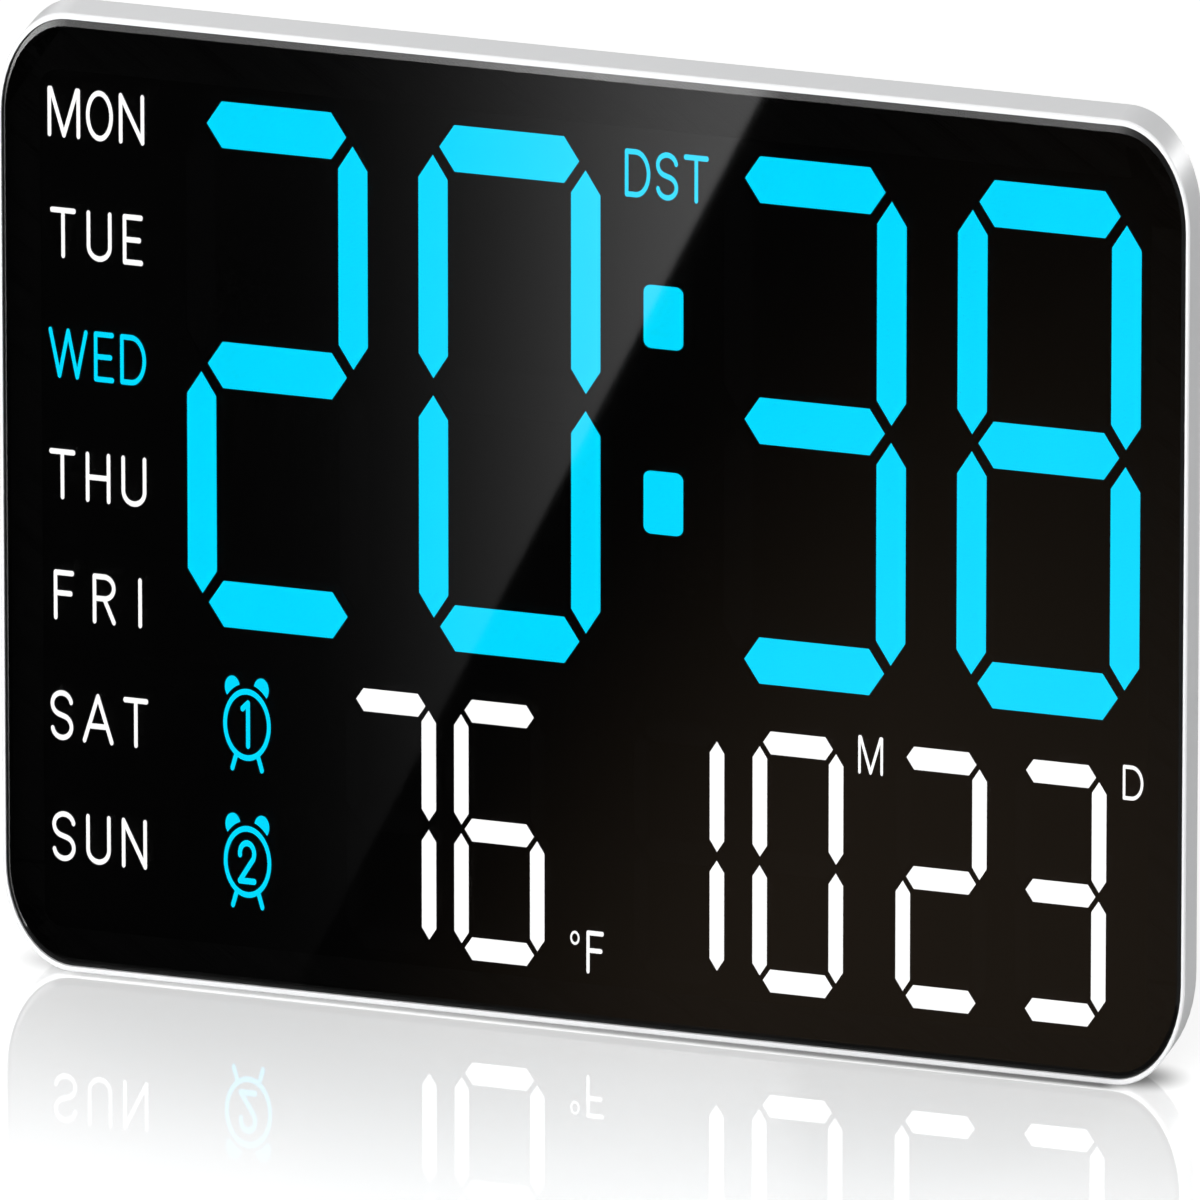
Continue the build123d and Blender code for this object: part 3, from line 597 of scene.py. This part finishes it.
stem = lines((0, 0), (0, 1))
bowl = joined([(0, 1)], arc(0.5, 0.755, 0.5, 0.245, 90, -90), [(0, 0.51)])
letters = {
    "A": lines((0, 0), (0.5, 1), (1, 0)) + lines((0.17, 0.33), (0.83, 0.33)),
    "D": stem + joined([(0, 1)], arc(0.42, 0.5, 0.58, 0.5, 90, -90), [(0, 0)]),
    "E": lines((0, 0), (0, 1), (1, 1)) + lines((0, 0.5), (0.89, 0.5)) + lines((0, 0), (1, 0)),
    "F": lines((0, 0), (0, 1), (1, 1)) + lines((0, 0.545), (0.9, 0.545)),
    "H": stem + lines((1, 0), (1, 1)) + lines((0, 0.5), (1, 0.5)),
    "I": lines((0.5, 0), (0.5, 1)),
    "M": stem + lines((0.05, 1), (0.5, 0), (0.95, 1)) + lines((1, 1), (1, 0)),
    "N": lines((0, 0), (0, 1), (1, 0), (1, 1)),
    "R": stem + bowl + lines((0.5, 0.51), (1, 0)),
    "S": joined(arc(0.5, 0.755, 0.5, 0.245, 12, 254), arc(0.5, 0.245, 0.5, 0.245, 74, -168)),
    "T": lines((0, 1), (1, 1)) + lines((0.5, 0), (0.5, 1)),
    "U": joined([(0, 1)], arc(0.5, 0.28, 0.5, 0.28, 180, 360), [(1, 1)]),
    "W": lines((0, 1), (0.25, 0), (0.5, 1), (0.75, 0), (1, 1)),
}
round_letters = {"O": oval(0.5, 0.5, 0.5, 0.5)}
print("letters:", "".join(sorted([*letters, *round_letters])))

# %% [markdown]
# A word is placed by what its light covers on the sheet's front, in millimetres. A camera's
# blur spreads that light a little, so the box is drawn in by the bloom, and then by the
# pen's half width to find the box of the paths. The words lie a little behind the front, so
# they are moved by that depth times the camera's slant.

# %% Set the words
bloom_x, bloom_z = 0.11, 0.13       # millimetres
shift_x, shift_z = 1000 * word_front * np.array([-0.283, -0.375])       # depth times the camera's slant
layer_step = 0.000004               # strokes that cross lie this far behind one another
weekday_height = 16.0
word_pen, sign_pen, unit_pen = 0.84, 0.74, 0.60         # half widths of the pen, in millimetres


def set_back(x, z):
    """A place on the sheet's front, in millimetres, moved to where the words lie, in metres."""
    return (x + shift_x) / 1000, (z + shift_z) / 1000


def letter_strokes(letter, left, right, low, high, pen):
    """Bands for one letter whose ink fills the given box."""
    size = np.array([right / squeeze - left / squeeze - 2 * pen, high - low - 2 * pen])
    corner = np.array([left / squeeze + pen, low + pen])
    if letter in round_letters:
        return [stroke(corner + round_letters[letter] * size, pen, word_front, closed=True)]
    paths = letters[letter]
    depths = word_front + layer_step * np.arange(len(paths))
    return [stroke(corner + path * size, pen, depth) for path, depth in zip(paths, depths)]


def word(text, spans, low, high, pen):
    """All bands of a word, letter by letter."""
    bands = []
    for letter, (left, right) in zip(text, spans):
        left, low_edge = set_back(left + bloom_x, low + bloom_z)
        right, high_edge = set_back(right - bloom_x, high - bloom_z)
        bands += letter_strokes(letter, left, right, low_edge, high_edge, pen / 1000)
    return bands


def join(parts):
    """Several surfaces as one: their points one after another, and their faces counted on."""
    points, faces = zip(*parts)
    starts = np.cumsum([0] + [len(part) for part in points[:-1]])
    return np.concatenate(points), np.concatenate([part + start for part, start in zip(faces, starts)])


lit_pieces = {"white": [], "cyan": []}


def add_piece(name, bands, colour):
    """The bands as one mesh object that rides on the case, kept under its colour."""
    made = new_object(name, *join(bands))
    made.data.validate()
    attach(made, "case")
    "lit_" + colour
    lit_pieces[colour].append(made)


weekdays = {
    "MON": (278.0, [(-164.8, -154.7), (-153.1, -144.7), (-143.1, -135.2)]),
    "TUE": (240.4, [(-164.2, -156.2), (-153.1, -145.3), (-142.1, -135.8)]),
    "WED": (202.8, [(-164.9, -152.8), (-151.1, -144.8), (-143.1, -135.0)]),
    "THU": (164.8, [(-164.9, -156.8), (-153.8, -146.1), (-142.9, -135.1)]),
    "FRI": (126.8, [(-163.8, -157.4), (-151.9, -144.7), (-138.1, -136.5)]),
    "SAT": (88.9, [(-165.0, -157.9), (-155.2, -145.6), (-142.7, -134.9)]),
    "SUN": (50.7, [(-164.7, -157.4), (-154.3, -146.6), (-143.4, -135.5)]),
}
for name, (top, spans) in weekdays.items():
    colour = "cyan" if name == "WED" else "white"
    add_piece("word_" + name.lower(), word(name, spans, top - weekday_height, top, word_pen), colour)
dst_spans = [(10.2, 18.1), (19.6, 26.5), (28.0, 35.7)]
add_piece("word_dst", word("DST", dst_spans, 261.6, 276.8, word_pen), "cyan")
print("words:", len(weekdays) + 1)

# %% [markdown]
# Small letters say what the lower figures mean: F behind a degree ring for the temperature,
# M for the month and D for the day. The ring is a closed stroke, so it has no ends to round.

# %% Set the unit letters beside the lower figures
def ring(x, z, radius, pen):
    """A closed circular stroke round a place on the sheet, radius to its middle line."""
    return stroke(oval(x / squeeze, z, radius, radius), pen, word_front, closed=True)


degree_ring = ring(*set_back(-4.84, 28.0), radius=0.0018, pen=0.00040)
add_piece("sign_degree", [degree_ring] + word("F", [(-1.42, 4.06)], 17.05, 30.9, sign_pen), "white")
add_piece("letter_month", word("M", [(81.0, 88.7)], 89.15, 101.5, unit_pen), "white")
add_piece("letter_day", word("D", [(160.9, 167.3)], 89.8, 101.0, unit_pen), "white")
print("unit letters set")

# %% [markdown]
# The alarm symbols are little clocks: a ring, two domed bells that follow the ring at a
# distance, two feet, and a numeral. A bell is a band whose inner edge is part of a circle
# round the ring's middle and whose outer edge is most of a small circle.

# %% Draw the alarm symbols
alarm_x = -104.8
ring_radius, ring_pen, limb_pen = 0.01045, 0.0009, 0.00096      # metres
bell_inner = 12.9           # millimetres from the ring's middle to the bell's inner edge
bell_out = 13.4             # millimetres from the ring's middle to the dome's own middle
bell_dome = 3.6
bell_lean = 31.0            # degrees that a bell leans from upright
bell_points = 25


def bell(x, z, side):
    """Points on the inner edge, and on the dome from one end of that edge to the other.

    The two circles cross at the edge's ends, so the law of cosines gives half its angle.
    """
    out = np.radians(90 + side * bell_lean)
    middle = bell_out * np.array([np.cos(out), np.sin(out)])
    half = np.arccos((bell_inner ** 2 + bell_out ** 2 - bell_dome ** 2) / (2 * bell_inner * bell_out))
    turn = np.linspace(-half, half, bell_points) + out
    inner = bell_inner * np.stack([np.cos(turn), np.sin(turn)], axis=1)
    first = np.arctan2(*(inner[0] - middle)[::-1])
    last = np.arctan2(*(inner[-1] - middle)[::-1])
    if last < first:
        last += 2 * np.pi
    swing = np.linspace(first, last, bell_points)
    outer = middle + bell_dome * np.stack([np.cos(swing), np.sin(swing)], axis=1)
    place = np.array([x, z])
    narrow = np.array([squeeze, 1.0]) / 1000
    near = word_front + layer_step
    return band(place + outer * narrow, place + inner * narrow, near, near + word_thickness, closed=False)


numerals = {
    1: lines((0.5, -6.6), (0.5, 6.8)) + lines((-2.1, 5.0), (0.5, 6.8)),
    2: joined(arc(-0.2, 2.6, 3.4, 3.3, 188, -28), [(-3.7, -6.1)]) + lines((-3.7, -6.1), (3.2, -6.1)),
}
feet = lines((-5.2, -9.6), (-7.0, -13.9)) + lines((5.2, -9.6), (7.0, -13.9))


def alarm_symbol(x, z, numeral):
    """All bands of one symbol round a place on the sheet, in millimetres."""
    x, z = set_back(x, z)
    place = np.array([x / squeeze, z])
    bands = [ring(x, z, ring_radius, ring_pen)]
    bands += [bell(x, z, side) for side in (-1, 1)]
    for layer, path in enumerate(feet + numerals[numeral], start=2):
        bands.append(stroke(place + path / 1000, limb_pen, word_front + layer_step * layer))
    return bands


for numeral, z in ((1, 84.05), (2, 40.80)):
    add_piece(f"alarm_symbol_{numeral}", alarm_symbol(alarm_x, z, numeral), "cyan")
print("alarm symbols drawn")

# %% [markdown]
# ## Light behind smoke
#
# The sheet lets about a tenth of the light through, so the bars shine some twelve times as
# bright as they look. Real resin spreads its diode's light a little unevenly, and soft noise
# stands for that. It is kept small, because the photograph shows the bars almost even.

# %% Light the bars and the words
def make_lit(name, colour, strength, waves):
    """Translucent resin lit from behind, with a faint unevenness of the light."""
    paint = new_paint(name)
    uneven = paint.noise(waves, 2.0)
    colour = np.array(colour)
    glow = paint.mix(uneven, rgb(*(0.94 * colour)), rgb(*colour))
    resin = paint.mix(uneven, rgb(*(0.20 * colour + 0.02)), rgb(*(0.26 * colour + 0.03)))
    shader = paint.node("ShaderNodeBsdfPrincipled", sockets={
        "Base Color": resin,
        "Roughness": 0.35 + 0.1 * paint.noise(900.0),
        "Emission Color": glow,
        "Emission Strength": strength,
    })
    finish_with(paint, shader)
    materials[name].cycles.emission_sampling = "NONE"


bar_waves, word_waves = 60.0, 90.0
for name, colour, strength in (("cyan", (0.0, 0.690, 1.0), 11.6), ("white", (1.0, 1.0, 1.0), 12.0)):
    make_lit("lit_" + name, colour, strength, bar_waves)
    make_lit("word_" + name, colour, strength, word_waves)
    for piece in lit_pieces[name]:
        piece.data.materials.append(materials["word_" + name])
print("lit finishes:", ", ".join(materials))

# %% [markdown]
# ## Plastics, metals and the rest
#
# Most parts inside and behind are moulded, and they differ in colour, in gloss and in the
# fineness of their grain. One function makes such a finish: two close colours and a range of
# roughness that follow slow noise, and a bump that follows fine noise.

# %% Make one function for moulded and plated parts
def make_finish(name, dark, light, rough, waves, grain, depth, metallic=0.0, brushed=1.0):
    """Colour and gloss drift with slow noise of `waves` to the metre, and the bump follows `grain`.

    Both kinds of noise are `brushed` times as fine in Z as in X and Y.
    """
    paint = new_paint(name)
    drift = paint.noise(waves, 4.0, (1.0, 1.0, brushed))
    fine = paint.noise(grain, 2.0, (1.0, 1.0, brushed))
    sockets = {
        "Base Color": paint.mix(drift, rgb(*dark), rgb(*light)),
        "Roughness": rough[0] + (rough[1] - rough[0]) * (0.6 * drift + 0.4 * fine),
        "Metallic": metallic,
        "Normal": paint.bump(fine, 0.35, depth),
    }
    finish_with(paint, paint.node("ShaderNodeBsdfPrincipled", sockets=sockets))


make_finish("unlit", (0.045, 0.046, 0.048), (0.060, 0.061, 0.064), (0.35, 0.45), 120, 900, 0.00002)
make_finish("adhesive", (0.005, 0.005, 0.005), (0.008, 0.008, 0.008), (0.80, 0.95), 90, 2500, 0.00005)
make_finish("film", (0.003, 0.003, 0.003), (0.005, 0.005, 0.005), (0.55, 0.70), 40, 1800, 0.00001)
make_finish("light_box", (0.82, 0.82, 0.80), (0.90, 0.90, 0.89), (0.45, 0.60), 30, 700, 0.00002)
make_finish("diode", (0.80, 0.74, 0.45), (0.95, 0.90, 0.70), (0.25, 0.35), 500, 1500, 0.00001)
make_finish("chip", (0.020, 0.020, 0.022), (0.035, 0.035, 0.038), (0.50, 0.65), 300, 4000, 0.00002)
make_finish("buzzer", (0.015, 0.015, 0.016), (0.024, 0.024, 0.025), (0.35, 0.50), 150, 1500, 0.00002)
make_finish("capacitor", (0.020, 0.030, 0.120), (0.030, 0.045, 0.160), (0.20, 0.32), 200, 900, 0.00001)
make_finish("thermistor", (0.060, 0.030, 0.012), (0.100, 0.050, 0.020), (0.20, 0.35), 600, 1500, 0.00003)
make_finish("inlet", (0.012, 0.012, 0.013), (0.020, 0.020, 0.021), (0.35, 0.50), 200, 1800, 0.00002)
make_finish("can", (0.60, 0.60, 0.60), (0.72, 0.72, 0.71), (0.25, 0.40), 150, 2500, 0.00001, 1.0)
make_finish("contact", (0.62, 0.60, 0.55), (0.74, 0.72, 0.67), (0.22, 0.36), 150, 2500, 0.00001, 1.0, 6.0)
make_finish("cell", (0.66, 0.66, 0.67), (0.78, 0.78, 0.79), (0.18, 0.34), 90, 1800, 0.00001, 1.0, 5.0)
make_finish("screw", (0.46, 0.47, 0.50), (0.62, 0.63, 0.66), (0.24, 0.40), 260, 2600, 0.00001, 1.0)
make_finish("button", (0.050, 0.050, 0.053), (0.066, 0.066, 0.070), (0.34, 0.46), 120, 1600, 0.00002)
make_finish("pad", (0.018, 0.018, 0.018), (0.030, 0.030, 0.030), (0.75, 0.92), 180, 2200, 0.00004)
print("finishes so far:", len(materials))

# %% [markdown]
# The rim is sprayed with a satin silver-white lacquer. Its colour is almost even. Very fine
# flakes make the gloss sparkle a little, and a long soft wave, the spray's orange peel,
# disturbs the reflections. Inside the lip the colour is painted near black: painted shade on
# the ledge, which would otherwise shine through the edge of the sheet. The lip follows the
# outline, whose corners are quarter ellipses: counted in their half axes, a point's distance
# from the corner's centre is 1 on the outline and less inside.

# %% Lacquer the rim
case_half, case_middle = 0.180, 0.1505
corner_run, corner_rise = 0.0213, 0.0333
lip_start = 0.940           # the lip lies farther out than this, counted in the corner's half axes


def inside_lip_painted_shade(paint):
    """1 inside the lip, where the ledge gets its painted shade, else 0."""
    def beyond(number, middle, straight, half_axis):
        """How far a point lies past the straight stretch, counted in the half axis, or 0."""
        return ((abs(paint.axis(number) - middle) - straight) / half_axis).at_least(0.0)

    across = beyond(0, 0.0, case_half - corner_run, corner_run)
    upright = beyond(2, case_middle, case_middle - corner_rise, corner_rise)
    return 1 - ((across ** 2.0 + upright ** 2.0) ** 0.5).above(lip_start)


def make_rim():
    """Satin lacquer on the lip and the sides, and painted shade, near black, inside the lip."""
    paint = new_paint("rim")
    drift = paint.noise(14.0, 3.0)
    flakes = paint.noise(5200.0, 1.0)
    peel = paint.noise(420.0, 2.0)
    lacquer = paint.mix(drift, rgb(0.700, 0.705, 0.715), rgb(0.735, 0.738, 0.745))
    sockets = {
        # painted shade: near black inside the lip, on the ledge behind the sheet's edge
        "Base Color": paint.mix(inside_lip_painted_shade(paint), lacquer, grey(0.012)),
        "Roughness": 0.27 + 0.10 * flakes + 0.05 * drift,
        "Specular IOR Level": 0.40,
        "Normal": paint.bump(peel, 0.20, 0.00003),
    }
    finish_with(paint, paint.node("ShaderNodeBsdfPrincipled", sockets=sockets))


make_rim()
print("rim lacquered")

# %% [markdown]
# The front is polished acrylic with smoke in it. It isn't glass: light goes straight through
# a thin sheet, so an alpha below one is enough, and the export keeps it. The polish is nearly
# perfect, and only a trace of wiping shows in its roughness.

# %% Polish the smoked sheet
def make_sheet():
    """Almost black, see-through acrylic with a trace of wiping."""
    paint = new_paint("smoked_sheet")
    wiped = paint.noise(25.0, 4.0, (1.0, 1.0, 3.0))
    sockets = {
        "Base Color": paint.mix(wiped, grey(0.0002), grey(0.0005)),
        "Roughness": 0.013 + 0.005 * wiped,
        "IOR": 1.49,
        "Alpha": 0.70,
    }
    finish_with(paint, paint.node("ShaderNodeBsdfPrincipled", sockets=sockets))


make_sheet()
print("sheet polished")

# %% [markdown]
# The rear cover, the cell's door and the feet come from one mould finish: fine spark texture
# on black plastic. The texture is two layers of noise, a coarse pebble and a fine grain. The
# raised parts of it are a little glossier, as handling polishes them.

# %% Give the cover its spark texture
def make_cover():
    """Black plastic whose height is two thirds pebble and one third grain."""
    paint = new_paint("cover")
    drift = paint.noise(18.0, 3.0)
    pebble = paint.noise(1500.0, 2.0)
    grain = paint.noise(5200.0, 2.0)
    height = 0.65 * pebble + 0.35 * grain
    sockets = {
        "Base Color": paint.mix(drift, rgb(0.018, 0.018, 0.019), rgb(0.028, 0.028, 0.030)),
        "Roughness": 0.62 - 0.16 * height + 0.05 * drift,
        "Normal": paint.bump(height, 0.60, 0.00008),
    }
    finish_with(paint, paint.node("ShaderNodeBsdfPrincipled", sockets=sockets))


make_cover()
print("cover textured")

# %% [markdown]
# The circuit board is glass cloth under green solder mask. Its copper tracks show through the
# mask as slightly lighter lines. A grid of two fine waves, broken up by noise, stands for
# them.

# %% Coat the circuit board
def make_board():
    """Green mask over tracks: zones of coarse noise choose which of two waves shows."""
    paint = new_paint("board")

    def waves(direction):
        sockets = {"Vector": paint.place(), "Scale": 160.0, "Distortion": 0.0}
        return paint.node("ShaderNodeTexWave", {"bands_direction": direction}, sockets, output=1)

    zones = paint.noise(26.0, 1.0).above(0.52)
    tracks = (waves("X") * zones + waves("Z") * (1 - zones)).smooth(0.70, 0.85)
    cloth = paint.noise(2200.0, 1.0)
    mask = paint.mix(0.5 * tracks + 0.2 * cloth, rgb(0.006, 0.055, 0.022), rgb(0.020, 0.150, 0.060))
    sockets = {
        "Base Color": mask,
        "Roughness": 0.32 + 0.08 * cloth,
        "Normal": paint.bump(tracks, 0.4, 0.00003),
    }
    finish_with(paint, paint.node("ShaderNodeBsdfPrincipled", sockets=sockets))


make_board()
print("board coated")

# %% [markdown]
# ## Dressing the CAD parts
#
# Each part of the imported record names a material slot, and each slot has a finish by now.

# %% Give every part its finish
subparts = frame["record"]["subparts"]
for part in subparts:
    solid = nodes[part["node"]]
    solid.data.materials.clear()
    solid.data.materials.append(materials[part["material_slot"]])
print("dressed", len(subparts), "parts")
